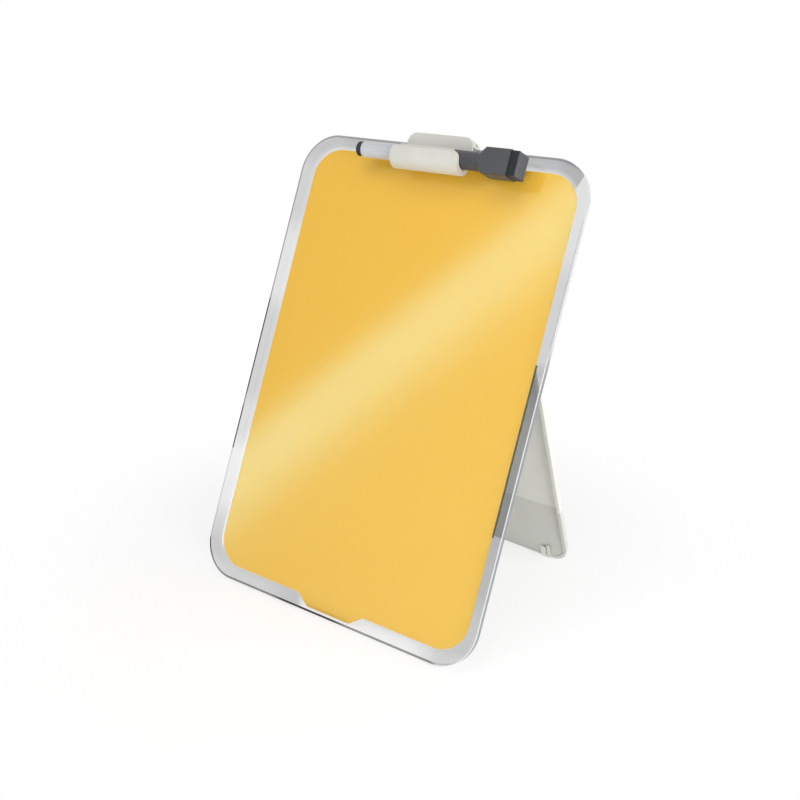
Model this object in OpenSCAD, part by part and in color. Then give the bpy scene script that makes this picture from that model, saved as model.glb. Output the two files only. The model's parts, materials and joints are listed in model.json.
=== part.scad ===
// Desk whiteboard easel: a leaning magnetic glass board with a folding rear leg,
// a sprung paper clip with a pen trough on its top edge, and a capped board marker.
// Millimetres. +Z is up, the board faces -Y, and the part stands on Z = 0.

/* [Board] */
// Width of the glass
board_w = 220; // [180:1:300]
// Height of the glass along its slope
board_h = 315; // [280:1:420]
// Thickness of the glass
glass_t = 4.5; // [3:0.1:6]
// Corner radius of the glass
board_r = 26.4; // [20:0.1:40]
// Width of the ground chamfer round the glass
ground_edge = 0.6; // [0.3:0.1:1]
// Lean of the board back from the vertical, in degrees
lean = 25; // [15:1:35]
// Width of the clear border round the coloured field
border_w = 8.65; // [6:0.05:15]
// Corner radius of the coloured field
field_r = 20.5; // [12:0.1:28]

/* [Bottom tab of the colour] */
// Width of the tab where it leaves the coloured field
tab_root_w = 54; // [40:1:80]
// Width of the tab at its lower edge
tab_tip_w = 35; // [20:1:50]
// Clear glass left below the tab
tab_gap = 1.9; // [1:0.1:4]

/* [Back of the board] */
// Thickness of the colour print
film_t = 0.2; // [0.1:0.05:0.4]
// Thickness of the steel sheet that holds magnets
steel_t = 0.6; // [0.4:0.1:1]
// Thickness of the foam mounting tape
tape_t = 0.9; // [0.6:0.1:2]
// Thickness of the back cover's floor
cover_t = 2.2; // [2:0.1:4]
// Step in from the coloured field to the back cover
cover_inset = 4.0; // [2:0.5:10]

/* [Leg] */
// Height of the hinge along the board, from its lower edge
hinge_h = 216; // [200:1:240]
// Height of the hinge axis above the back cover
axis_lift = 3.8; // [3.7:0.1:6]
// Lean of the leg from the vertical, in degrees
leg_lean = 16.75; // [12:0.25:20]
// Half width of the leg's rim at the floor
leg_foot_half = 97.2; // [80:0.1:97.3]
// Half width of the leg's rim at its top
leg_top_half = 87.6; // [80:0.1:97]
// Depth of the leg from its rim to its rear skin
leg_depth = 6.3; // [6:0.1:6.5]
// Thickness of the leg's skin
leg_skin = 1.8; // [1.4:0.1:2.5]
// Thickness of the leg's rim
leg_wall = 2.2; // [1.8:0.1:3]
// Rise of the shallow arch in the leg's lower edge
leg_arch = 3.2; // [1:0.1:5]
// Distance of each foot pad from the middle
foot_x = 80.2; // [60:0.1:84]
// Radius of the hinge pins
hinge_pin_r = 1.25; // [1:0.05:1.5]

/* [Clip] */
// Place of the clip along the top edge
clip_x = -0.8; // [-40:0.1:40]
// Width of the clip
clip_w = 50.6; // [45:0.2:60]
// Height of the press tab above the glass
press_h = 6.6; // [6.6:0.1:8]
// Depth of the press tab's hood behind its face
hood_depth = 8.6; // [8:0.1:10]
// Mean radius of the torsion spring's coil
coil_r = 1.45; // [1.4:0.05:1.6]
// Diameter of the spring wire
wire_d = 0.6; // [0.5:0.05:0.6]

/* [Marker] */
// Radius of the marker's barrel
barrel_r = 5.35; // [5:0.05:5.6]
// Radius of the round part of the cap
cap_r = 5.9; // [5.7:0.05:5.95]
// Left end of the marker, from the middle of the clip
marker_left = -57.2; // [-70:0.1:-50]
// Mouth of the cap, from the middle of the clip
cap_mouth = 6.5; // [0:0.5:12]
// Right end of the eraser felt, from the middle of the clip
felt_end = 66.5; // [60:0.1:75]
// Length of the straight part of the square eraser block
block_len = 17.5; // [14:0.1:20]
// Height of the square eraser block
block_h = 16.8; // [14:0.1:18]
// Depth of the square eraser block
block_d = 14.5; // [12:0.1:15]

/* [Hidden] */
$fn = 64;
eps = 0.01;

// Colours
cream = [0.90, 0.90, 0.86];
yellow = [0.95, 0.75, 0.31];
glass_tint = [0.82, 0.87, 0.88, 0.45];
steel_grey = [0.62, 0.64, 0.66];
soft_grey = [0.72, 0.73, 0.72];
barrel_grey = [0.78, 0.79, 0.81];
cap_grey = [0.33, 0.34, 0.36];
felt_grey = [0.20, 0.21, 0.22];

// Layers behind the front face of the glass, with a bond line on each side of the print
bond_t = 0.05;
film_y = glass_t + bond_t;
steel_y = film_y + film_t + bond_t;
tape_y = steel_y + steel_t;
cover_y = tape_y + tape_t;
back_y = cover_y + cover_t;
field_w = board_w - 2 * border_w;
field_h = board_h - 2 * border_w;
cover_w = field_w - 2 * cover_inset;
cover_h = field_h - 2 * cover_inset;
cover_r = field_r - cover_inset;
cover_rim = 2;

// Hinge axis on the board, and the leg's planes about it
axis_y = back_y + axis_lift;
rim_gap = 0.3;
rim_n = rim_gap - axis_lift;
skin_n = rim_n + leg_depth;
knuckle_r = 3.3;
lug_x = [54.5, 71.5];
lug_t = 5;
knuckle_w = lug_x[1] - lug_x[0] - lug_t - 0.6;
knuckle_x = (lug_x[0] + lug_x[1]) / 2;
plate_w = 27;
plate_h = 18;
plate_t = 1.6;
screw_z = 6.2;
boss_w = 14;
boss_h = 20;

// Placing: the rear lower chamfer of the glass touches the floor
drop_z = (glass_t - ground_edge) * sin(lean);
hinge_yw = axis_y * cos(lean) + hinge_h * sin(lean);
hinge_zw = hinge_h * cos(lean) - axis_y * sin(lean) + drop_z;
foot_n = skin_n + 0.3;
rear_reach = hinge_yw + hinge_zw * tan(leg_lean) + foot_n / cos(leg_lean);
front_reach = ground_edge * sin(lean);
shift_y = -(rear_reach + front_reach) / 2;
leg_low = (hinge_zw + rim_n * sin(leg_lean) - 0.9) / cos(leg_lean);
fold_angle = lean + leg_lean;
ramp_low = 2 - leg_low;
ramp_top = 46.5 - leg_low;
ramp_sink = 0.3;

// Clip section, measured from the top edge of the glass's front face
jaw_gap = 0.35;
back_wall = 1.6;
front_y = -17.5;
front_wall = 3.05;
marker_y = (front_y + front_wall - jaw_gap - back_wall) / 2;
marker_z = -9.75;
bowl_r = (-jaw_gap - back_wall - front_y - front_wall) / 2;
outer_r = (-jaw_gap - front_y) / 2;
outer_y = -jaw_gap - outer_r;
outer_z = -11.4;
lip_z = -6.3;
pin_y = 4.2;
pin_z = 2.85;
clip_pin_r = 0.9;
hood_wall = 1.8;
hood_low = 0.8;
ear_x = 16;
ear_t = 2;
tab_low = -4.5;
saddle_z = 0.12;
saddle_t = 0.85;
rear_jaw_y = glass_t + 0.75;
rear_jaw_t = 1.8;
rear_jaw_low = -8;

// Spring: an open coil of six and a half turns with two straight legs
turns = 6.5;
pitch = 1.05;
rings_per_turn = 8;
wire_sides = 6;
leg_len = 3.6;
coil_rings = turns * rings_per_turn;
function coil_point(i) = let (a = 90 + 360 * i / rings_per_turn)
    [(i / rings_per_turn - turns / 2) * pitch, pin_y + coil_r * cos(a), pin_z + coil_r * sin(a)];
spring_path = concat(
    [coil_point(0) + [0, leg_len, 0], coil_point(0) + [0, leg_len - wire_d, 0]],
    [for (i = [0:coil_rings]) coil_point(i)],
    [coil_point(coil_rings) + [0, leg_len - wire_d, 0], coil_point(coil_rings) + [0, leg_len, 0]]);
spring_gap = pitch - wire_d;
echo(least_spring_gap = spring_gap);

// Marker stations along its axis
barrel_left = marker_left + 4.6;
barrel_end = cap_mouth - 0.3;
bore_r = 4.35;
nose_r = 4.5;
nose_end = cap_mouth + 13;
cone_end = nose_end + 6;
nib_r = 1.6;
nib_end = cone_end + 4;
block_end = felt_end - 6;
block_start = block_end - block_len;
flare_start = block_start - 6;

// Rounded rectangle centred on the origin, made of true arcs
module rounded(w, h, r) {
    square([w - 2 * r, h], center = true);
    square([w, h - 2 * r], center = true);
    for (sx = [-1, 1], sy = [-1, 1])
        translate([sx * (w / 2 - r), sy * (h / 2 - r)]) circle(r);
}

// Stands a drawing up in the board's own frame: X across, Y on up the board, t thick to the rear
module slab(y, t) {
    translate([0, y + t, 0]) rotate([90, 0, 0]) linear_extrude(t) children();
}

// Extrudes a drawing of depth and height along X, centred on x
module run_x(x, w) {
    translate([x - w / 2, 0, 0]) rotate([90, 0, 90]) linear_extrude(w) children();
}

// From the board's frame to the part's frame
module on_board() {
    translate([0, shift_y, drop_z]) rotate([-lean, 0, 0]) children();
}

// From the leg's frame, with the hinge axis as its origin, to the part's frame
module on_leg() {
    translate([0, shift_y + hinge_yw, hinge_zw]) rotate([leg_lean, 0, 0]) children();
}

// From the clip's frame, with the top edge of the glass's face as its origin
module on_clip() {
    on_board() translate([clip_x, 0, board_h]) children();
}

// From the marker's frame, with its axis along X
module on_marker() {
    on_clip() translate([0, marker_y, marker_z]) children();
}

// A round bar or step of the marker between two stations
module bar(x0, x1, r0, r1) {
    translate([x0, 0, 0]) rotate([0, 90, 0]) cylinder(h = x1 - x0, r1 = r0, r2 = r1);
}

module field_outline(inset) {
    translate([0, board_h / 2]) rounded(field_w - 2 * inset, field_h - 2 * inset, field_r - inset);
}

module tab_outline() {
    polygon([[-tab_root_w / 2, border_w + 2], [-tab_root_w / 2, border_w], [-tab_tip_w / 2, tab_gap],
             [tab_tip_w / 2, tab_gap], [tab_root_w / 2, border_w], [tab_root_w / 2, border_w + 2]]);
}

module glass_panel() {
    color(glass_tint) on_board() {
        slab(ground_edge, glass_t - 2 * ground_edge)
            translate([0, board_h / 2]) rounded(board_w, board_h, board_r);
        for (face = [0, 1])
            hull() {
                slab(face * (glass_t - eps), eps) translate([0, board_h / 2])
                    rounded(board_w - 2 * ground_edge, board_h - 2 * ground_edge, board_r - ground_edge);
                slab(face * (glass_t - 2 * ground_edge) + ground_edge, eps / 2)
                    translate([0, board_h / 2]) rounded(board_w, board_h, board_r);
            }
    }
}

module colour_print() {
    color(yellow) on_board() slab(film_y, film_t)
        offset(r = 3) offset(r = -6) offset(r = 3) {
            field_outline(0);
            tab_outline();
        }
}

module steel_sheet() {
    color(steel_grey) on_board() slab(steel_y, steel_t) field_outline(0.5);
}

module mounting_tape() {
    band = 12;
    tape_inset = cover_inset + cover_rim + 1;
    color(soft_grey) on_board() slab(tape_y, tape_t) {
        difference() {
            field_outline(tape_inset);
            field_outline(tape_inset + band);
        }
        for (z = [board_h / 3, hinge_h])
            difference() {
                translate([0, z]) square([field_w - 2 * tape_inset - band, band], center = true);
                bosses(1);
            }
    }
}

// Outlines of the two blocks that the hinge screws bite into, grown by g
module bosses(g) {
    for (side = [-1, 1])
        translate([side * knuckle_x, hinge_h]) square([boss_w + 2 * g, boss_h + 2 * g], center = true);
}

// The places of one bracket's two screws, mirrored to the other side by the caller
module at_screws() {
    for (sz = [-1, 1])
        translate([knuckle_x, 0, hinge_h + sz * screw_z]) children();
}

module both_sides() {
    for (side = [0, 1]) mirror([side, 0, 0]) children();
}

module back_cover() {
    edge = 0.8;
    color(cream) on_board() difference() {
        union() {
            slab(tape_y, back_y - edge - tape_y)
                translate([0, board_h / 2]) rounded(cover_w, cover_h, cover_r);
            hull() {
                slab(back_y - edge - eps, eps)
                    translate([0, board_h / 2]) rounded(cover_w, cover_h, cover_r, $fn = 40);
                slab(back_y - eps, eps) translate([0, board_h / 2])
                    rounded(cover_w - 2 * edge, cover_h - 2 * edge, cover_r - edge, $fn = 40);
            }
        }
        slab(tape_y - 1, tape_t + 1) difference() {
            translate([0, board_h / 2])
                rounded(cover_w - 2 * cover_rim, cover_h - 2 * cover_rim, cover_r - cover_rim);
            bosses(0);
        }
        both_sides() translate([knuckle_x - plate_w / 2, back_y - plate_t, hinge_h - plate_h / 2])
            cube([plate_w, plate_t + 1, plate_h]);
        both_sides() at_screws() translate([0, tape_y - 1, 0]) rotate([-90, 0, 0]) cylinder(h = 6, r = 1.02);
    }
}

module lug_outline() {
    circle(knuckle_r);
    translate([-axis_lift - 0.4, -knuckle_r]) square([axis_lift + 0.4, 2 * knuckle_r]);
}

module hinge_brackets() {
    color(cream) on_board() both_sides() difference() {
        union() {
            translate([knuckle_x - plate_w / 2 + 0.1, back_y - plate_t, hinge_h - plate_h / 2 + 0.1])
                cube([plate_w - 0.2, plate_t - 0.1, plate_h - 0.2]);
            for (x = lug_x) translate([0, axis_y, hinge_h]) run_x(x, lug_t) lug_outline();
        }
        translate([knuckle_x, axis_y, hinge_h]) rotate([0, 90, 0])
            cylinder(h = 2 * plate_w, r = hinge_pin_r + 0.03, center = true);
        at_screws() translate([0, back_y - plate_t - 1, 0]) rotate([-90, 0, 0]) {
            cylinder(h = 6, r = 1.3);
            translate([0, 0, 1 + plate_t - 1.1]) cylinder(h = 1.1, r1 = 1.3, r2 = 2.4);
        }
    }
}

module bracket_screws() {
    color(steel_grey) on_board() both_sides() at_screws() rotate([-90, 0, 0]) {
        translate([0, 0, tape_y + 0.05]) cylinder(h = back_y - tape_y - 1, r = 1);
        translate([0, 0, back_y - 1.15]) difference() {
            cylinder(h = 1.0, r1 = 1.15, r2 = 2.2);
            translate([0, 0, 0.5]) for (turn = [0, 90])
                rotate([0, 0, turn]) translate([-1.3, -0.25, 0]) cube([2.6, 0.5, 1]);
        }
    }
}

module hinge_pins() {
    length = lug_x[1] - lug_x[0] + lug_t - 0.4;
    color(steel_grey) on_board() both_sides() translate([knuckle_x, axis_y, hinge_h])
        rotate([0, 90, 0]) cylinder(h = length, r = hinge_pin_r, center = true);
}

// Outline of the leg across its width, drawn at its rim and inset by s
module leg_outline(s) {
    corner = 11.5;
    top_corner = 6;
    top_w = 6;
    for (side = [-1, 1]) {
        translate([side * (leg_foot_half - corner - 0.3), -leg_low + corner]) circle(corner - s, $fn = 48);
        translate([side * (leg_top_half - top_corner), top_w - top_corner]) circle(top_corner - s, $fn = 32);
    }
}

// Solid of the leg between two depths, its outline inset by s0 at the front and s1 at the rear
module leg_block(n0, n1, s0, s1) {
    hull() {
        slab(n0, eps) leg_outline(s0);
        slab(n1 - eps, eps) leg_outline(s1);
    }
}

// Section of the leg's lower zone, whose face climbs from the pocket's floor to the rim
module leg_ramp() {
    floor_n = skin_n - leg_skin;
    polygon([[floor_n, ramp_top], [rim_n + ramp_sink, ramp_low], [skin_n + 1, ramp_low], [skin_n + 1, ramp_top]]);
}

// Section of the hollow behind the lower zone, which keeps its skin even
module ramp_relief() {
    relief_low = ramp_low + 6;
    climb = (leg_depth - leg_skin - ramp_sink) / (ramp_top - ramp_low);
    relief_n = rim_n + ramp_sink + climb * (relief_low - ramp_low) + leg_skin;
    polygon([[skin_n, ramp_top], [relief_n, relief_low], [skin_n + 1, relief_low], [skin_n + 1, ramp_top]]);
}

module leg_panel() {
    leg_span = 120;
    notch_low = -4.2;
    notch_w = lug_x[1] - lug_x[0] + lug_t + 1.2;
    arch_half = foot_x - 6;
    arch_r = (arch_half * arch_half + leg_arch * leg_arch) / (2 * leg_arch);
    color(cream) on_leg() difference() {
        union() {
            difference() {
                union() {
                    leg_block(rim_n, skin_n - 1.4, 0, 0.8);
                    leg_block(skin_n - 1.4, skin_n, 0.8, 2.0);
                }
                difference() {
                    leg_block(rim_n - 1, skin_n - leg_skin, leg_wall, leg_wall + 0.8);
                    run_x(0, 2 * leg_span) leg_ramp();
                    for (x = [-33, 0, 33])
                        translate([x - 0.8, skin_n - leg_skin - 1.6, -leg_low + 46]) cube([1.6, 3, 130]);
                    translate([-100, rim_n - 2, 1.6]) cube([200, 10, 10]);
                }
                both_sides() translate([knuckle_x - notch_w / 2, rim_n - 1, notch_low])
                    cube([notch_w, leg_depth + 2, 20]);
                for (x = [-48, 0, 48]) run_x(x, 46) ramp_relief();
            }
            both_sides() {
                run_x(knuckle_x, knuckle_w) circle(knuckle_r - 0.1);
                translate([knuckle_x - knuckle_w / 2, -1.7, notch_low - 5])
                    cube([knuckle_w, skin_n - 0.1 + 1.7, 5 - notch_low]);
            }
        }
        both_sides() translate([knuckle_x, 0, 0]) rotate([0, 90, 0])
            cylinder(h = notch_w, r = hinge_pin_r + 0.04, center = true);
        for (heel = [[0.5, 0.3], [1, 0.1]])
            rotate([-fold_angle * heel[0], 0, 0])
                translate([-leg_span, -axis_lift - leg_span + heel[1], -leg_span / 2])
                    cube([2 * leg_span, leg_span, leg_span]);
        translate([0, 0, -leg_low - arch_r + leg_arch]) rotate([90, 0, 0])
            cylinder(h = 30, r = arch_r, center = true, $fn = 180);
    }
}

module leg_feet() {
    pad_w = 7.4;
    pad_h = 11;
    rib_t = 0.7;
    rib_w = 3.9;
    groove_w = 1.0;
    color(soft_grey) difference() {
        on_leg() both_sides() translate([foot_x, 0, -leg_low])
            difference() {
                translate([-pad_w / 2, rim_n - rib_t, -3]) cube([pad_w, foot_n - rim_n + rib_t, pad_h + 3]);
                translate([-pad_w, rim_n - 0.05, 0.05]) cube([2 * pad_w, leg_depth + 0.1, pad_h + 3]);
                translate([rib_w - pad_w / 2, rim_n - 2 * rib_t, 2]) cube([groove_w, 2 * rib_t, pad_h]);
                translate([-pad_w, rim_n - 2 * rib_t, 9]) cube([pad_w / 2 + rib_w, 2 * rib_t, pad_h]);
            }
        translate([-board_w, -board_h, -50]) cube([2 * board_w, 2 * board_h, 50]);
    }
}

// Front view of the clip's face plate and press tab, inset by s
module press_outline(s) {
    corner = 6.2;
    low_half = clip_w / 2;
    high_half = clip_w / 2 - 0.6;
    intersection() {
        hull() for (side = [-1, 1]) {
            translate([side * (high_half - corner), press_h - corner]) circle(corner - s, $fn = 48);
            translate([side * (low_half - 1 - s), tab_low + 0.5]) square([2, 1], center = true);
        }
        translate([-clip_w, tab_low]) square([2 * clip_w, clip_w]);
    }
}

// The J section of the pen trough, depth across and height up
module trough_section() {
    lip_r = front_wall / 2;
    difference() {
        union() {
            translate([outer_y, outer_z]) circle(outer_r);
            translate([front_y, outer_z]) square([2 * outer_r, lip_z - outer_z - lip_r]);
            translate([front_y + lip_r, lip_z - lip_r]) circle(lip_r, $fn = 48);
        }
        translate([marker_y, marker_z]) circle(bowl_r);
        translate([marker_y - bowl_r, marker_z]) square([2 * bowl_r, 20]);
    }
}

module jaw_bore() {
    translate([0, pin_y, pin_z]) rotate([0, 90, 0])
        cylinder(h = clip_w + 4, r = clip_pin_r + 0.03, center = true);
}

module pen_trough() {
    lip_corner = 5;
    half = clip_w / 2;
    color(cream) on_clip() difference() {
        union() {
            difference() {
                run_x(0, clip_w) trough_section();
                for (side = [-1, 1])
                    difference() {
                        translate([side * half - lip_corner, front_y - 1, lip_z - lip_corner])
                            cube([2 * lip_corner, front_wall + 2, 2 * lip_corner]);
                        translate([side * (half - lip_corner), 0, lip_z - lip_corner]) rotate([90, 0, 0])
                            cylinder(h = 60, r = lip_corner, center = true);
                    }
            }
            translate([-half, -jaw_gap - back_wall, outer_z]) cube([clip_w, back_wall, tab_low - outer_z]);
        }
        translate([-half + 3, -1.25, -13.4]) cube([clip_w - 6, 3, 4]);
    }
}

module press_tab() {
    color(cream) on_clip() difference() {
        union() {
            slab(-jaw_gap - back_wall, back_wall) press_outline(0);
            difference() {
                slab(-jaw_gap, hood_depth) press_outline(0);
                slab(-jaw_gap, hood_depth + 1) press_outline(hood_wall);
                translate([-clip_w, -1, hood_low - 20]) cube([2 * clip_w, hood_depth + 3, 20]);
            }
        }
        jaw_bore();
    }
}

module jaw_pad() {
    color(soft_grey) on_clip() translate([-clip_w / 2 + 3.1, -1.2, -13.3]) cube([clip_w - 6.2, 1.12, 3.8]);
}

module clip_base() {
    plate_half = 17;
    color(cream) on_clip() difference() {
        union() {
            translate([-plate_half, rear_jaw_y, rear_jaw_low + 1])
                cube([2 * plate_half, rear_jaw_t, saddle_z + saddle_t - rear_jaw_low - 1]);
            slab(rear_jaw_y, rear_jaw_t) for (side = [-1, 1])
                translate([side * (plate_half - 1.5), rear_jaw_low + 1.5]) circle(1.5);
            translate([-plate_half + 1.5, rear_jaw_y, rear_jaw_low])
                cube([2 * plate_half - 3, rear_jaw_t, 2]);
            translate([-ear_x - ear_t / 2, 0.3, saddle_z])
                cube([2 * ear_x + ear_t, rear_jaw_y + rear_jaw_t - 0.3, saddle_t]);
            for (side = [-1, 1]) translate([0, pin_y, 0]) run_x(side * ear_x, ear_t) {
                translate([0, pin_z]) circle(1.75);
                translate([-1.75, saddle_z]) square([3.5, pin_z - saddle_z]);
            }
        }
        translate([0, pin_y, pin_z]) rotate([0, 90, 0])
            cylinder(h = clip_w, r = clip_pin_r + 0.03, center = true);
    }
}

module rear_pad() {
    color(soft_grey) on_clip() translate([-15, glass_t + 0.1, -7.2]) cube([30, 0.65, 6]);
}

module clip_pin() {
    color(steel_grey) on_clip() translate([0, pin_y, pin_z]) rotate([0, 90, 0])
        cylinder(h = clip_w - 7.4, r = clip_pin_r, center = true);
}

// A tube of round wire swept along a path of points
module wire_tube(path, d, sides) {
    last = len(path) - 1;
    rings = [for (i = [0:last])
        let (t = path[min(i + 1, last)] - path[max(i - 1, 0)],
             u = t / norm(t),
             side_dir = cross(u, [1, 0, 0]),
             a = side_dir / norm(side_dir),
             b = cross(u, a))
        [for (k = [0:sides - 1]) path[i] + d / 2 * (cos(360 * k / sides) * a + sin(360 * k / sides) * b)]];
    points = [for (r = rings, p = r) p];
    walls = [for (i = [0:last - 1], k = [0:sides - 1])
        let (a = i * sides + k, b = i * sides + (k + 1) % sides)
        each [[a, a + sides, b], [b, a + sides, b + sides]]];
    ends = [[for (k = [0:sides - 1]) k], [for (k = [sides - 1:-1:0]) last * sides + k]];
    polyhedron(points, concat(walls, ends));
}

module clip_spring() {
    color(steel_grey) on_clip() wire_tube(spring_path, wire_d, wire_sides);
}

module marker_barrel() {
    color(barrel_grey) on_marker() difference() {
        union() {
            bar(barrel_left, barrel_left + 0.6, barrel_r - 0.3, barrel_r);
            bar(barrel_left + 0.6, barrel_end, barrel_r, barrel_r);
        }
        bar(barrel_left - 1, barrel_end + 1, bore_r, bore_r);
    }
}

module end_plug() {
    ring_r = barrel_r - 0.5;
    core_r = ring_r - 0.35;
    color(felt_grey) on_marker() {
        bar(marker_left, marker_left + 0.8, ring_r - 0.9, ring_r - 0.1);
        bar(marker_left + 0.8, barrel_left - 0.02, core_r, core_r);
        for (ring = [[0.8, 1.7], [2.3, 3.0], [3.6, 4.58]])
            bar(marker_left + ring[0], marker_left + ring[1], ring_r, ring_r);
        bar(barrel_left - 0.02, barrel_left + 5, bore_r - 0.03, bore_r - 0.03);
    }
}

module ink_reservoir() {
    color("ivory") on_marker() bar(barrel_left + 5.2, cap_mouth - 8, 3.9, 3.9);
}

module nib_holder() {
    color(felt_grey) on_marker() difference() {
        union() {
            bar(cap_mouth - 7.8, barrel_end, bore_r - 0.03, bore_r - 0.03);
            bar(barrel_end, nose_end, nose_r, nose_r);
            bar(nose_end, cone_end, nose_r - 0.9, 2.4);
        }
        bar(cap_mouth - 9, cone_end + 1, nib_r + 0.03, nib_r + 0.03);
    }
}

module nib() {
    color(felt_grey) on_marker() {
        bar(cap_mouth - 8, nib_end - nib_r, nib_r, nib_r);
        translate([nib_end - nib_r, 0, 0]) rotate([0, 90, 0]) difference() {
            sphere(nib_r, $fn = 32);
            translate([0, 0, -nib_r - 0.2]) cube(2 * nib_r, center = true);
        }
    }
}

// Slice of the cap at station x: a rounded rectangle across its axis
module cap_slice(x, d, h, r) {
    translate([x, 0, 0]) rotate([90, 0, 90]) linear_extrude(eps) rounded(d, h, r, $fn = 32);
}

module marker_cap() {
    color(cap_grey) on_marker() difference() {
        union() {
            bar(cap_mouth, cap_mouth + 0.5, cap_r - 0.3, cap_r);
            bar(cap_mouth + 0.5, flare_start, cap_r, cap_r);
        }
        bar(cap_mouth - 1, nose_end + 0.6, nose_r + 0.05, nose_r + 0.05);
        bar(nose_end, flare_start - 1, nose_r - 0.5, nose_r - 0.5);
    }
}

module eraser_block() {
    color(cap_grey) on_marker() difference() {
        union() {
            hull() {
                cap_slice(flare_start, 2 * cap_r - 0.02, 2 * cap_r - 0.02, cap_r - 0.02);
                cap_slice(flare_start + 2.4, block_d - 1.6, block_h - 3.2, 4.6);
            }
            hull() {
                cap_slice(flare_start + 2.4, block_d - 1.6, block_h - 3.2, 4.6);
                cap_slice(block_start, block_d, block_h, 1.4);
            }
            translate([block_start, 0, 0]) rotate([90, 0, 90])
                linear_extrude(block_end - block_start) rounded(block_d, block_h, 1.4);
        }
        translate([block_end - 3, 0, 0]) rotate([90, 0, 90])
            linear_extrude(4) square([block_d - 3, block_h - 3], center = true);
    }
}

module eraser_felt() {
    inset = 0.6;
    color(felt_grey) on_marker() {
        translate([block_end + 0.02, 0, 0]) rotate([90, 0, 90])
            linear_extrude(felt_end - block_end - 0.02) rounded(block_d - 2 * inset, block_h - 2 * inset, 0.6);
        translate([block_end - 2.9, 0, 0]) rotate([90, 0, 90])
            linear_extrude(3) square([block_d - 3.1, block_h - 3.1], center = true);
    }
}

glass_panel();
colour_print();
steel_sheet();
mounting_tape();
back_cover();
hinge_brackets();
bracket_screws();
hinge_pins();
leg_panel();
leg_feet();
clip_base();
clip_pin();
clip_spring();
rear_pad();
pen_trough();
press_tab();
jaw_pad();
marker_barrel();
end_plug();
ink_reservoir();
nib_holder();
nib();
marker_cap();
eraser_block();
eraser_felt();
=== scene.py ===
import json
import math

import bmesh
import bpy
from mathutils import Matrix, Vector, noise

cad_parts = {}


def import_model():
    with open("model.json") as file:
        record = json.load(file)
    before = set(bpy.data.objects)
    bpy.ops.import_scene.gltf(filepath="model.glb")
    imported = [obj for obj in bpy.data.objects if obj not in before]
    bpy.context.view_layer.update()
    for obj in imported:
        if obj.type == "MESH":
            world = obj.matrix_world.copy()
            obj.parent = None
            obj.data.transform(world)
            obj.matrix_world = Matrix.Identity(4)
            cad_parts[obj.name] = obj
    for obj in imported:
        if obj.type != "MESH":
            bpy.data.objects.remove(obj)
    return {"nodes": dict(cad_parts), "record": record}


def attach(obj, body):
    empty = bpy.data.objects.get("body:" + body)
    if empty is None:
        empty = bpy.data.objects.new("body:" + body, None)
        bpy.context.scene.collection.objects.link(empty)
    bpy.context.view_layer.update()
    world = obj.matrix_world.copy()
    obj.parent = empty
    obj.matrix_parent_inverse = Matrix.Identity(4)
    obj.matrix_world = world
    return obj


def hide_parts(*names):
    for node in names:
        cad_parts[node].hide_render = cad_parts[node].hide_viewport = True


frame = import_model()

NODES = frame["nodes"]
SLOTS = {part["node"]: part["material_slot"] for part in frame["record"]["subparts"]}
RIDES = {node: body for body, nodes in frame["record"]["behaviour"]["bodies"].items()
         for node in nodes}
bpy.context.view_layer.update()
MM = 0.001
WHITE = (1, 1, 1, 1)

# The board's own frame: X across, Y behind the front face of the glass, Z up along the board
LEAN = math.radians(25)
BOARD_FOOT = Vector((0, -81.8867, 1.6482)) * MM
BOARD = Matrix.Translation(BOARD_FOOT) @ Matrix.Rotation(-LEAN, 4, "X")
BOARD_W, BOARD_H, BOARD_R = 220 * MM, 315 * MM, 26.4 * MM
MIDDLE = BOARD @ Vector((0, 0, BOARD_H / 2))

# The bare border round the colour, the corners of the colour, and the ground edge of the glass
BORDER_W, FIELD_R, GROUND = 8.65 * MM, 20.5 * MM, 0.6 * MM

# The tab at the foot of the colour: half its width at the tip and the root, and the gap below
TAB_TIP, TAB_ROOT, TAB_GAP = 17.5 * MM, 27 * MM, 1.9 * MM

# The marker's own frame: its axis along X, measured from the middle of the clip
MARKER = BOARD @ Matrix.Translation(Vector((-0.8, -8.2, 305.25)) * MM)
BLOCK_END, FELT_END = 60.5 * MM, 66.5 * MM
BLOCK_D, BLOCK_H = 14.5 * MM, 16.8 * MM

# The leg's own frame: Z up the leg from the axis of its hinge, Y behind it. Its face has a step
LEG_AXIS, LEG_LEAN = Vector((0, 20.5464, 192.2125)) * MM, math.radians(16.75)
LEG_STEP = -152.24 * MM

# Tones along the sides of the bare border, as a first value and its changes: the grey of the
# glass, with painted reflections and painted shade where it grows lighter or darker. A change of
# three
# numbers is a step: by how much, from and to. A fourth makes it a patch that fades at both
# ends. Places are in mm from the middle of the face, up the left and right or across the rest.
LEFT_GREY_AND_PAINTED_LIGHT = 0.36, ((-0.1, -130, -35, 20), (-0.18, -115, -66, 20), (-0.14, 36, 92, 24))
RIGHT_GREY_AND_PAINTED_LIGHT = 0.4, ((0.1, -130, -100), (-0.13, 30, 37), (-0.12, 80, 110))
FOOT_GREY_AND_PAINTED_LIGHT = 0.27, ((0.1, -60, -28), (-0.32, -27, -20), (0.26, 62, 92))
TOP_GREY_AND_PAINTED_LIGHT = 0.46, ((0.06, -90, -70), (0.07, 80, 90))
# The strength of the line round the face, a painted reflection on the ground edge: on the left,
# and at the foot
LEFT_EDGE_REFLECTION = 0.95, ((-0.4, -136, -133.5), (0.45, -70.2, 38.5, 1), (-0.3, -135.5, -70.2, 1),
                   (-0.4, -39.5, -30.5, 4))
FOOT_EDGE_REFLECTION = 0.7, ((0.28, -40, 14, 14), (-0.5, 83, 90))

# How far the glass is from clear: its own haze, the painted highlight line and the painted shade
# line at the edge of the colour, and the wall at its edge, which carries painted tones
HAZE, PAINTED_HIGHLIGHT_LINE, PAINTED_SHADE_LINE, PAINTED_WALL = 0.02, 0.92, 0.9, 0.92

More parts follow.
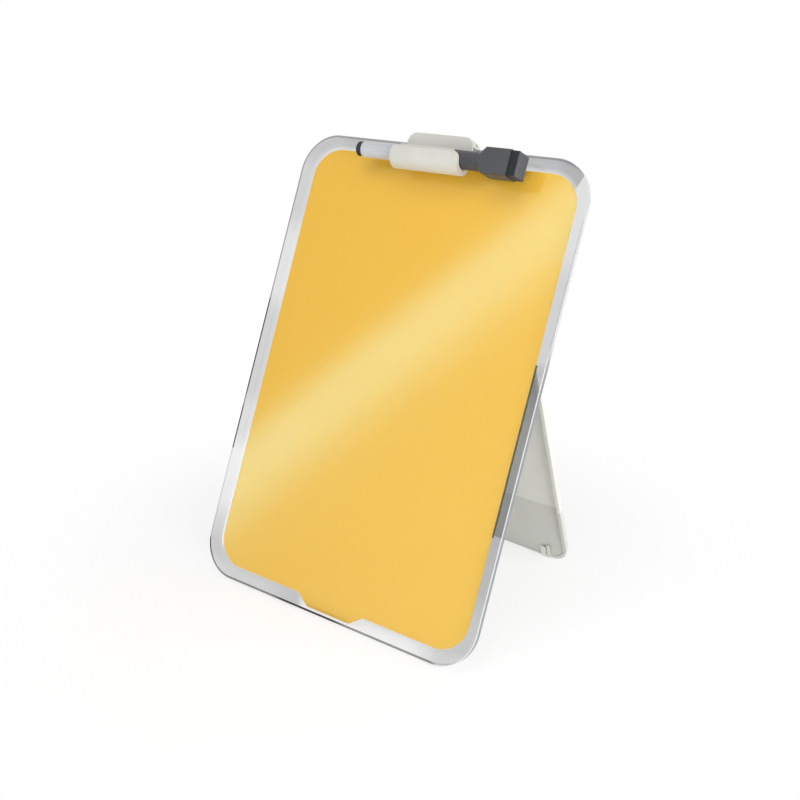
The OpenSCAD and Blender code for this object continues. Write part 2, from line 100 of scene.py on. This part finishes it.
# Folds steeper than this between faces larger than this aren't smoothed
BROAD_FOLD, BROAD_FACE = math.radians(1.5), 400 * MM * MM

# Edges steeper than this are rounded off
SHARP = math.radians(32)

# The photograph's view
CAMERA_AT = Vector((0.377681, -0.524404, 0.388366))
CAMERA_AZIMUTH, CAMERA_ELEVATION = math.radians(35.5061), math.radians(21.9817)
LENS, SENSOR = 47.25, 36

# Light from all round, and the distances between which the floor fades to white
AMBIENT = 0.375
FLOOR_NEAR, FLOOR_FAR = 0.1, 0.32


def srgb(red, green, blue):
    """A screen colour, 0 to 255, as the linear colour that sockets take."""
    def linear(level):
        level /= 255
        return level / 12.92 if level <= 0.04045 else ((level + 0.055) / 1.055) ** 2.4
    return (linear(red), linear(green), linear(blue), 1)


# Shader maths

class Sock:
    """An output of a node. Python's operators on it add Math nodes."""

    def __init__(self, layout, link):
        self.layout, self.link = layout, link

    def maths(self, operation, *values):
        return self.layout.node("Math", {"operation": operation}, dict(enumerate(values)))

    def __add__(self, other):
        return self.maths("ADD", self, other)

    def __radd__(self, other):
        return self.maths("ADD", other, self)

    def __sub__(self, other):
        return self.maths("SUBTRACT", self, other)

    def __rsub__(self, other):
        return self.maths("SUBTRACT", other, self)

    def __mul__(self, other):
        return self.maths("MULTIPLY", self, other)

    def __rmul__(self, other):
        return self.maths("MULTIPLY", other, self)

    def __truediv__(self, other):
        return self.maths("DIVIDE", self, other)

    def __pow__(self, other):
        return self.maths("POWER", self, other)

    def __abs__(self):
        return self.maths("ABSOLUTE", self)

    def least(self, other):
        return self.maths("MINIMUM", self, other)

    def most(self, other):
        return self.maths("MAXIMUM", self, other)

    def melded(self, other, reach):
        """The greater of two values, with the crease between them rounded off."""
        return self.maths("SMOOTH_MAX", self, other, reach)

    def ramp(self, low, high, to_low=0.0, to_high=1.0):
        """A smooth step from to_low, at low and below, to to_high, at high and above."""
        return self.layout.node("MapRange", {"interpolation_type": "SMOOTHSTEP"},
                                {0: self, 1: low, 2: high, 3: to_low, 4: to_high})

    def between(self, low, high, fade):
        """1 from low to high and 0 outside, with soft steps of the given width."""
        half = fade / 2
        return self.ramp(low - half, low + half) * (1 - self.ramp(high - half, high + half))

    def toward(self, other, share):
        """This value where the share is 0, and the other where it is 1."""
        return self + (other - self) * share

    def tones(self, first, changes):
        """A value that changes with this place, as the tables of the border give it."""
        for change, start, end, *fade in changes:
            start, end = start * MM, end * MM
            share = self.between(start, end, fade[0] * MM) if fade else self.ramp(start, end)
            first = first + change * share
        return first


def bend(mapping, points):
    """Lays the curve of a Float Curve node through the given points."""
    line = mapping.curves[0].points
    line[0].location, line[-1].location = points[0], points[-1]
    for place in points[1:-1]:
        line.new(*place)
    mapping.update()


class Layout:
    """The nodes of a material, a lamp or the world, while they are laid out."""

    def __init__(self, owner):
        owner.use_nodes = True
        self.tree = owner.node_tree
        self.tree.nodes.clear()

    def node(self, kind, settings=None, sockets=None, out=0):
        """Adds a node. Gives the output that is asked for, or a list where it is a tuple."""
        node = self.tree.nodes.new("ShaderNode" + kind)
        for name, value in (settings or {}).items():
            if name == "points":
                bend(node.mapping, value)
            else:
                setattr(node, name, value)
        for name, value in (sockets or {}).items():
            if isinstance(value, Sock):
                self.tree.links.new(value.link, node.inputs[name])
            else:
                node.inputs[name].default_value = value
        if isinstance(out, tuple):
            return [Sock(self, node.outputs[name]) for name in out]
        return Sock(self, node.outputs[out]) if node.outputs else None

    def split(self, place):
        return self.node("SeparateXYZ", {}, {0: place}, ("X", "Y", "Z"))


class Finish(Layout):
    """A material, and the patterns that the finishes of this object are made of."""

    def __init__(self, name):
        self.material = bpy.data.materials.new(name)
        super().__init__(self.material)
        self.place = self.node("TexCoord", out="Object")

    def noise(self, size, detail=2.0, roughness=0.5):
        """Soft noise from 0 to 1, whose blotches are about size metres across."""
        return self.node("TexNoise", {}, {"Vector": self.place, "Scale": 1 / size,
                                          "Detail": detail, "Roughness": roughness})

    def drawn(self, size, squeeze, detail):
        """Soft noise whose blotches are the size divided by the squeeze along each axis."""
        return self.node("TexNoise", {}, {"Vector": self.mapped(scale=squeeze),
                                          "Scale": 1 / size, "Detail": detail})

    def mapped(self, location=(0, 0, 0), rotation=(0, 0, 0), scale=(1, 1, 1)):
        return self.node("Mapping", {}, {"Vector": self.place, "Location": location,
                                         "Rotation": rotation, "Scale": scale})

    def blend(self, factor, first, second):
        """A colour between first, where the factor is 0, and second, where it is 1."""
        return self.node("Mix", {"data_type": "RGBA"}, {0: factor, 6: first, 7: second}, 2)

    def bump(self, height, depth, strength=1.0):
        return self.node("Bump", {}, {"Height": height, "Distance": depth,
                                      "Strength": strength})

    def moulding(self, size):
        """The grain of a spark-eroded mould, and a tone that also has faint flow clouds."""
        grain = self.noise(size, 3, 0.6)
        cloud = self.noise(22 * MM, 2)
        return grain, (0.75 * cloud + 0.25 * grain).ramp(0.3, 0.7)

    def done(self, **sockets):
        """Closes the material with a Principled shader. Underscores in the names are spaces."""
        shader = self.node("BsdfPrincipled", {}, {name.replace("_", " "): value
                                                  for name, value in sockets.items()})
        self.node("OutputMaterial", {}, {"Surface": shader})
        return self.material


def board_place(finish):
    """The place in the board's own frame, with the origin at the middle of the glass's face."""
    turn = Matrix.Rotation(LEAN, 3, "X")
    shift = -(turn @ BOARD_FOOT) - Vector((0, 0, BOARD_H / 2))
    return finish.mapped(location=shift, rotation=(LEAN, 0, 0))


def leg_place(finish):
    """The place in the leg's own frame."""
    turn = Matrix.Rotation(-LEG_LEAN, 3, "X")
    return finish.mapped(location=-(turn @ LEG_AXIS), rotation=(-LEG_LEAN, 0, 0))


def inside_board(x, z, border, radius):
    """Distance in from the outline that runs a border's width inside the glass's own."""
    across = abs(x) - (BOARD_W / 2 - border - radius)
    along = abs(z) - (BOARD_H / 2 - border - radius)
    corner = (across.most(0) ** 2 + along.most(0) ** 2) ** 0.5
    return radius - corner - across.most(along).least(0)


def inside_tab(x, z):
    """Distance in from the outline of the tab at the foot of the colour."""
    up = z + (BOARD_H / 2 - TAB_GAP)
    slope = (TAB_ROOT - TAB_TIP) / (BORDER_W - TAB_GAP)
    flank = (TAB_TIP + up * slope - abs(x)) / math.hypot(1, slope)
    return flank.least(up).least(BORDER_W - up)


# Finishes

def clear_glass():
    """Float glass: clear over the colour, a grey tint in the bare border, polished edges. The
    border and its edges carry painted reflections, highlights and shade.
    """
    finish = Finish("clear_glass")
    x, depth, z = finish.split(board_place(finish))
    rim = inside_board(x, z, 0, BOARD_R)
    colour = inside_board(x, z, BORDER_W, FIELD_R)
    clear = colour.melded(inside_tab(x, z), 1.5 * MM).ramp(-0.2 * MM, 0.05 * MM)

    # The front face with its ground edge, the rear half of the glass, and its outer wall
    face = 1 - depth.ramp(GROUND + 0.1 * MM, GROUND + 0.3 * MM)
    rear = depth.ramp(2.0 * MM, 2.4 * MM)
    wall = (1 - rim.ramp(0.05 * MM, 0.3 * MM)) * (1 - face)

    # The sides of the border. The top's tones, a painted reflection, end at a slanting edge in
    # the right corner
    right = x.ramp(90 * MM, 104 * MM)
    top = z.ramp(130 * MM, 150 * MM)
    foot = 1 - z.ramp(-152 * MM, -144 * MM)
    low = 1 - z.ramp(30 * MM, 50 * MM)
    reflection_edge = ((x - 99.2 * MM) * 0.925 - (z - 144.4 * MM) * 0.38).ramp(-0.3 * MM, 0.4 * MM)

    # How grey the border looks: the glass's grey, with painted reflections and painted shade
    # along its sides, and a painted reflection at the top that stops at the slanting edge
    grey_and_painted_light = z.tones(*LEFT_GREY_AND_PAINTED_LIGHT).toward(z.tones(*RIGHT_GREY_AND_PAINTED_LIGHT), x.ramp(-10 * MM, 10 * MM))
    grey_and_painted_light = grey_and_painted_light.toward(x.tones(*FOOT_GREY_AND_PAINTED_LIGHT), foot)
    top_grey_and_painted_light = x.tones(*TOP_GREY_AND_PAINTED_LIGHT) - 0.16 * colour.ramp(-3.4 * MM, -0.6 * MM)
    grey_and_painted_light = grey_and_painted_light.toward(top_grey_and_painted_light, top.most(x.ramp(78 * MM, 88 * MM)) * (1 - reflection_edge))

    # The edge of the colour: a painted highlight line low on the left, and a line of painted
    # shade in front of the leg
    pale = (colour.between(-1.5 * MM, 0, 0.2 * MM) * (1 - x.ramp(-90 * MM, -86 * MM))
            * z.between(-139 * MM, -55 * MM, 3 * MM) * rear)
    dark = (colour.between(-1.25 * MM, 0.1 * MM, 0.1 * MM) * x.ramp(86 * MM, 90 * MM)
            * z.between(-73.5 * MM, 33.5 * MM, 1 * MM) * rear)

    # The line round the face, thinner on the right, and how strong it is: a painted reflection on
    # the ground edge, dark on the left, top and foot, and on the right a painted highlight that
    # is paler low down
    line = (1 - (rim / (1.65 * MM - 1.15 * MM * right)).ramp(0.88, 1.08)) * face
    strength = z.tones(*LEFT_EDGE_REFLECTION).toward(0.45, top).toward(x.tones(*FOOT_EDGE_REFLECTION), foot)
    right_highlight_strength = (0.5 + 0.3 * low) * (1 - reflection_edge * z.ramp(118 * MM, 126 * MM))
    strength = strength.toward(right_highlight_strength, right)

    # The glass's grey, then the painted highlight line and the line of painted shade at the edge
    # of the colour
    tone = finish.blend(pale, srgb(52, 60, 72), srgb(250, 250, 250))
    tone = finish.blend(dark, tone, srgb(16, 13, 8))
    # The right outer wall is painted pale, with painted shade low down where the leg stands
    # behind it
    wall_painted_light_and_shade = finish.blend(low, srgb(192, 194, 196), srgb(110, 113, 118))
    tone = finish.blend(wall * right, tone, wall_painted_light_and_shade)
    # The line round the face: a dark painted reflection, and on the right a painted highlight
    # that is paler low down
    right_highlight_tone = finish.blend(low, srgb(140, 143, 148), srgb(212, 214, 217))
    edge_reflection_tone = finish.blend(right, srgb(14, 15, 17), right_highlight_tone)
    alpha = (1 - clear) * (rear.most(wall) * grey_and_painted_light + HAZE)
    alpha = alpha.most(pale * PAINTED_HIGHLIGHT_LINE).most(dark * PAINTED_SHADE_LINE).most(wall * right * PAINTED_WALL)
    alpha = alpha.toward(strength, line)
    smear = finish.noise(14 * MM, 3)
    return finish.done(Base_Color=finish.blend(line, tone, edge_reflection_tone), Alpha=alpha.least(1),
                       Roughness=smear.ramp(0.3, 0.7, 0.03, 0.07), IOR=1.5,
                       Coat_Weight=1 - line.most(dark) * (1 - right), Coat_Roughness=0.03)


def yellow_print():
    """Colour fused to the back of the glass, seen through its gloss."""
    finish = Finish("yellow_print")
    cloud = finish.noise(60 * MM, 2)
    grain = finish.noise(0.25 * MM, 2)
    base = finish.blend(cloud, srgb(239, 188, 66), srgb(237, 186, 62))
    return finish.done(Base_Color=base, Roughness=grain.ramp(0.2, 0.8, 0.42, 0.5),
                       Normal=finish.bump(grain, 0.002 * MM, 0.3), Coat_Weight=0.5,
                       Coat_Roughness=0.07, Coat_IOR=1.5, Specular_IOR_Level=0.1)


def moulded(name, light, dark, rough, grain_size=0.35 * MM, grain_depth=0.012 * MM):
    """Moulded plastic or rubber with a fine grain."""
    finish = Finish(name)
    grain, tone = finish.moulding(grain_size)
    return finish.done(Base_Color=finish.blend(tone, dark, light),
                       Roughness=grain.ramp(0.25, 0.75, rough - 0.05, rough + 0.06),
                       Normal=finish.bump(grain, grain_depth, 0.6))


def leg_plastic_painted_shade():
    """Moulded leg: the sloped foot of its front face is painted darker, as painted shade."""
    finish = Finish("leg_plastic_painted_shade")
    _, behind, along = finish.split(leg_place(finish))
    grain, tone = finish.moulding(0.35 * MM)
    upper = finish.blend(tone, srgb(219, 219, 212), srgb(224, 224, 218))
    painted_shade_tone = finish.blend(tone, srgb(200, 201, 195), srgb(205, 206, 200))
    unshaded_share = along.ramp(LEG_STEP - 1 * MM, LEG_STEP).most(behind.ramp(1.8 * MM, 2.2 * MM))
    return finish.done(Base_Color=finish.blend(unshaded_share, painted_shade_tone, upper),
                       Roughness=grain.ramp(0.25, 0.75, 0.4, 0.5),
                       Normal=finish.bump(grain, 0.012 * MM, 0.6))


def barrel_plastic():
    """Smooth grey barrel, drawn lengthwise."""
    finish = Finish("barrel_plastic")
    drawn = finish.drawn(16.6667 * MM, (1, 30, 30), 2.0)
    base = finish.blend(drawn, srgb(196, 197, 202), srgb(205, 206, 211))
    return finish.done(Base_Color=base, Roughness=drawn.ramp(0.3, 0.7, 0.24, 0.34),
                       Normal=finish.bump(drawn, 0.004 * MM, 0.4))


def eraser_felt():
    """Pressed felt: short fibres that lie every way, painted paler on the end that wipes, as
    painted light from the right.
    """
    finish = Finish("eraser_felt")
    fibre = finish.noise(0.3 * MM, 5, 0.75)
    clump = finish.noise(1.6 * MM, 3)
    tone = (0.6 * fibre + 0.4 * clump).ramp(0.3, 0.7)
    along, _, _ = finish.split(finish.mapped(location=(-MARKER.translation.x, 0, 0)))
    # The end face is painted paler: painted light, for the light that falls on it from the right
    painted_lit_end = along.ramp(FELT_END - 0.5 * MM, FELT_END - 0.25 * MM)
    side = finish.blend(tone, srgb(24, 26, 30), srgb(44, 47, 52))
    end = finish.blend(tone, srgb(66, 69, 74), srgb(94, 97, 102))
    return finish.done(Base_Color=finish.blend(painted_lit_end, side, end),
                       Roughness=fibre.ramp(0.2, 0.8, 0.85, 0.97), Sheen_Weight=0.12,
                       Sheen_Roughness=0.5, Normal=finish.bump(tone, 0.12 * MM, 0.8))


def ink_fibre():
    """Bundled fibres of the reservoir, running along the marker."""
    finish = Finish("ink_fibre")
    strand = finish.drawn(0.3333 * MM, (0.05, 1, 1), 3.0)
    base = finish.blend(strand, srgb(206, 203, 194), srgb(232, 230, 222))
    return finish.done(Base_Color=base, Roughness=strand.ramp(0.2, 0.8, 0.8, 0.92),
                       Normal=finish.bump(strand, 0.05 * MM, 0.6))


def foam_tape():
    """Closed-cell foam with small pores, about two to the millimetre, painted darker in their
    pits as painted shade.
    """
    finish = Finish("foam_tape")
    pore = finish.node("TexVoronoi", {}, {"Vector": finish.place, "Scale": 2200.0})
    depth = pore.ramp(0.1, 0.6)
    # The pits of the pores are painted darker: painted shade
    base = finish.blend(depth, srgb(176, 178, 177), srgb(208, 209, 207))
    return finish.done(Base_Color=base, Roughness=depth.ramp(0, 1, 0.95, 0.82),
                       Normal=finish.bump(depth, 0.08 * MM, 0.7))


def metal(name, light, dark, rough, squeeze, size, depth):
    """Steel with a grain drawn out along its rolled or turned direction."""
    finish = Finish(name)
    line = finish.drawn(size, squeeze, 4.0)
    return finish.done(Base_Color=finish.blend(line, dark, light), Metallic=1.0,
                       Roughness=line.ramp(0.25, 0.75, rough - 0.07, rough + 0.08),
                       Normal=finish.bump(line, depth, 0.5))


FINISHES = {
    "clear_glass": clear_glass(),
    "yellow_print": yellow_print(),
    "sheet_steel": metal("sheet_steel", srgb(176, 178, 180), srgb(146, 148, 151), 0.42,
                         (1, 1, 0.04), 0.5 * MM, 0.01 * MM),
    "foam_tape": foam_tape(),
    "white_plastic": moulded("white_plastic", srgb(217, 216, 209), srgb(211, 210, 202), 0.44),
    "leg_plastic_painted_shade": leg_plastic_painted_shade(),
    "plated_steel": metal("plated_steel", srgb(206, 207, 208), srgb(170, 172, 175), 0.3,
                          (0.2, 1, 1), 0.3 * MM, 0.006 * MM),
    "grip_rubber": moulded("grip_rubber", srgb(226, 225, 219), srgb(214, 213, 207), 0.7,
                           0.5 * MM, 0.03 * MM),
    "barrel_plastic": barrel_plastic(),
    "dark_plastic": moulded("dark_plastic", srgb(50, 54, 61), srgb(42, 46, 53), 0.42),
    "ink_fibre": ink_fibre(),
    "cap_plastic": moulded("cap_plastic", srgb(73, 74, 78), srgb(65, 66, 70), 0.45),
    "eraser_felt": eraser_felt(),
}


def dress(obj, node):
    """Gives an object the finish of a solid's slot. The leg has a finish of its own, with painted
    shade on the foot of its face.
    """
    obj.data.materials.clear()
    obj.data.materials.append(FINISHES["leg_plastic_painted_shade" if node == "leg_panel" else SLOTS[node]])


for name, solid in NODES.items():
    dress(solid, name)


# Pieces

def shown(name, mesh):
    """Turns a bmesh into an object of the scene."""
    data = bpy.data.meshes.new(name)
    mesh.to_mesh(data)
    mesh.free()
    obj = bpy.data.objects.new(name, data)
    bpy.context.scene.collection.objects.link(obj)
    return obj


def merged(node):
    """A copy of a solid's mesh, its doubles merged and its flat faces whole."""
    mesh = bmesh.new()
    mesh.from_mesh(NODES[node].data)
    bmesh.ops.remove_doubles(mesh, verts=mesh.verts, dist=0.002 * MM)
    bmesh.ops.dissolve_limit(mesh, angle_limit=math.radians(0.5), verts=mesh.verts,
                             edges=mesh.edges)
    # A slight fold between two broad faces stays crisp, where smooth shading would cloud them
    for edge in mesh.edges:
        if len(edge.link_faces) == 2 and edge.calc_face_angle() > BROAD_FOLD:
            edge.smooth = min(face.calc_area() for face in edge.link_faces) < BROAD_FACE
    return mesh


def piece(name, mesh, node):
    """Makes a mesh the piece that stands for a solid, in the solid's finish."""
    for face in mesh.faces:
        face.smooth = True
    obj = shown(name, mesh)
    dress(obj, node)
    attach(obj, RIDES[node])
    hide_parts(node)
    return obj


def softened(name, node, radius, segments=3):
    """Rounds off a solid's sharp edges, as a mould or a polishing wheel leaves them."""
    obj = piece(name, merged(node), node)
    rounding = obj.modifiers.new("rounding", "BEVEL")
    rounding.width, rounding.segments, rounding.profile = radius, segments, 0.5
    rounding.limit_method, rounding.angle_limit = "ANGLE", SHARP
    # Broad faces set the shading at their corners, so the roundings don't cloud them
    shading = obj.modifiers.new("shading", "WEIGHTED_NORMAL")
    shading.mode, shading.keep_sharp = "FACE_AREA", True


def felt_pad():
    """A block of pressed felt with a fuzzy, uneven skin and a stub that sits in the eraser."""
    stub, rounding, finest, seat = 2.8 * MM, 0.8 * MM, 0.6 * MM, 0.1 * MM
    fuzz, fuzz_size, shy = 0.14 * MM, 0.9 * MM, 0.6 * MM
    size = Vector((FELT_END - BLOCK_END - seat, BLOCK_D - 2 * shy, BLOCK_H - 2 * shy))
    mesh = bmesh.new()
    bmesh.ops.create_cube(mesh, size=1)
    bmesh.ops.scale(mesh, vec=size, verts=mesh.verts)
    bmesh.ops.bevel(mesh, geom=mesh.edges[:], offset=rounding, segments=3, affect="EDGES",
                    profile=0.5, material=-1)
    back = min(mesh.faces, key=lambda face: face.calc_center_median().x)
    bmesh.ops.inset_region(mesh, faces=[back], thickness=0.3 * MM)
    grown = bmesh.ops.extrude_discrete_faces(mesh, faces=[back])["faces"][0]
    bmesh.ops.translate(mesh, vec=(-stub, 0, 0), verts=grown.verts)
    for _ in range(5):
        long = [edge for edge in mesh.edges if edge.calc_length() > finest]
        if long:
            bmesh.ops.subdivide_edges(mesh, edges=long, cuts=1, use_grid_fill=True)
    bmesh.ops.triangulate(mesh, faces=mesh.faces)
    mesh.normal_update()
    # The skin is uneven, but not the stub and the felt's end against the eraser block
    moves = [(vert, vert.normal * noise.fractal(vert.co / fuzz_size, 0.6, 2.0, 4) * fuzz)
             for vert in mesh.verts if vert.co.x > -size.x / 2 + 0.4 * MM]
    for vert, move in moves:
        vert.co += move
    middle = Matrix.Translation(((FELT_END + BLOCK_END) / 2, 0, 0))
    bmesh.ops.transform(mesh, matrix=MARKER @ middle, verts=mesh.verts)
    piece("felt_pad", mesh, "eraser_felt")


softened("polished_glass", "glass_panel", 0.22 * MM, 2)
softened("moulded_trough", "pen_trough", 0.55 * MM)
softened("moulded_tab", "press_tab", 0.5 * MM)
softened("moulded_block", "eraser_block", 0.4 * MM)
softened("moulded_plug", "end_plug", 0.12 * MM, 2)
softened("moulded_cap", "marker_cap", 0.15 * MM, 2)
softened("drawn_barrel", "marker_barrel", 0.12 * MM, 2)
softened("moulded_leg", "leg_panel", 0.4 * MM)
softened("moulded_feet", "leg_feet", 0.22 * MM, 2)
softened("moulded_cover", "back_cover", 0.3 * MM, 2)
softened("moulded_brackets", "hinge_brackets", 0.25 * MM, 2)
felt_pad()


# Studio

def camera():
    data = bpy.data.cameras.new("photo_view")
    data.lens, data.sensor_width, data.sensor_fit = LENS, SENSOR, "HORIZONTAL"
    data.clip_start = 10 * MM
    view = bpy.data.objects.new("photo_view", data)
    back = Vector((math.sin(CAMERA_AZIMUTH) * math.cos(CAMERA_ELEVATION),
                   -math.cos(CAMERA_AZIMUTH) * math.cos(CAMERA_ELEVATION),
                   math.sin(CAMERA_ELEVATION)))
    view.location = CAMERA_AT
    view.rotation_euler = (-back).to_track_quat("-Z", "Y").to_euler()
    bpy.context.scene.collection.objects.link(view)
    bpy.context.scene.camera = view


def lamp(name, at, aim, size, radiance, along=(0, 0, 1)):
    """A rectangular area lamp whose face has the given radiance, where 1 is white.

    Its second side lies along the given direction.
    """
    data = bpy.data.lights.new(name, "AREA")
    data.shape, data.size, data.size_y = "RECTANGLE", size[0], size[1]
    data.energy = radiance * math.pi * size[0] * size[1]
    obj = bpy.data.objects.new(name, data)
    back = (Vector(at) - Vector(aim)).normalized()
    side = Vector(along).cross(back).normalized()
    turn = Matrix((side, back.cross(side), back)).transposed().to_4x4()
    obj.matrix_world = Matrix.Translation(at) @ turn
    obj.visible_camera = obj.visible_glossy = False
    bpy.context.scene.collection.objects.link(obj)
    return obj


def band_lamp():
    """The strip that the gloss over the colour mirrors as a slanting band of light.

    It lights nothing else. The band is sharp on its upper edge and fades below.
    """
    slant = Vector((0.6526, -0.6666, -0.3601)) * 0.211
    obj = lamp("band_softbox", Vector((-0.629, -0.985, 0.717)) + slant,
               Vector((0.055, -0.022, 0.174)) + slant, (0.7, 1.7), 8.5,
               along=(0.545, 0.083, 0.834))
    obj.data.color = (0.25, 1, 0.95)
    obj.visible_diffuse, obj.visible_glossy = False, True
    layout = Layout(obj.data)
    across, _, _ = layout.split(layout.node("NewGeometry", out="Parametric"))
    share = layout.node("FloatCurve", {"points": (
        (0, 0), (0.035, 0.12), (0.105, 0.9), (0.128, 1), (0.2, 0.72), (0.26, 0.36),
        (0.32, 0.17), (0.7, 0.18), (1, 0.22))}, {"Value": across})
    light = layout.node("Emission", {}, {"Color": WHITE, "Strength": share})
    layout.node("OutputLight", {}, {"Surface": light})
    mirrors = bpy.data.collections.new("mirrors")
    mirrors.objects.link(NODES["colour_print"])
    obj.light_linking.receiver_collection = mirrors


def world():
    """Plain light all round, and white where the camera, gloss or glass looks past the object."""
    sky = bpy.data.worlds.new("studio")
    layout = Layout(sky)
    seen, mirrored, through = layout.node(
        "LightPath", out=("Is Camera Ray", "Is Glossy Ray", "Is Transmission Ray"))
    level = AMBIENT + (1 - AMBIENT) * seen.most(mirrored).most(through)
    light = layout.node("Background", {}, {"Color": WHITE, "Strength": level})
    layout.node("OutputWorld", {}, {"Surface": light})
    bpy.context.scene.world = sky


def floor():
    """A pale floor that fades to white away from the object and keeps its shadow."""
    mesh = bmesh.new()
    bmesh.ops.create_grid(mesh, x_segments=1, y_segments=1, size=4)
    obj = shown("floor", mesh)
    finish = Finish("floor")
    x, y, _ = finish.split(finish.place)
    white_share = ((x ** 2 + y ** 2) ** 0.5).ramp(FLOOR_NEAR, FLOOR_FAR, 0.55, 1.0)
    speck = finish.noise(2 * MM, 3)
    paper = finish.node("BsdfPrincipled", {}, {
        "Base Color": finish.blend(speck, srgb(243, 243, 243), srgb(247, 247, 247)),
        "Roughness": 0.8, "Specular IOR Level": 0.1,
        "Emission Color": WHITE, "Emission Strength": 0.2})
    white = finish.node("Emission", {}, {"Color": WHITE, "Strength": 1.0})
    seen = finish.node("LightPath", out="Is Camera Ray")
    finish.node("OutputMaterial", {}, {"Surface": finish.node(
        "MixShader", {}, {0: white_share * seen, 1: paper, 2: white})})
    obj.data.materials.append(finish.material)


camera()
world()
floor()
lamp("side_softbox", (1.4, 0.35, 0.6), MIDDLE, (1.0, 1.0), 2.8)
lamp("front_softbox", MIDDLE + Vector((-0.41, -0.67, 0.63)) * 1.5, MIDDLE, (0.32, 0.32), 5.6)
lamp("fill_softbox", MIDDLE + Vector((0.9, -0.38, 0.22)) * 1.2, MIDDLE, (0.6, 0.6), 5.6)
lamp("top_softbox", MIDDLE + Vector((0.05, -0.4, 0.92)) * 1.2, MIDDLE, (0.9, 0.5), 2.3)
lamp("low_softbox", (0.2, -1.15, 0.14), MIDDLE, (1.2, 0.3), 1.2)
band_lamp()

scene = bpy.context.scene
scene.view_settings.view_transform = "Standard"
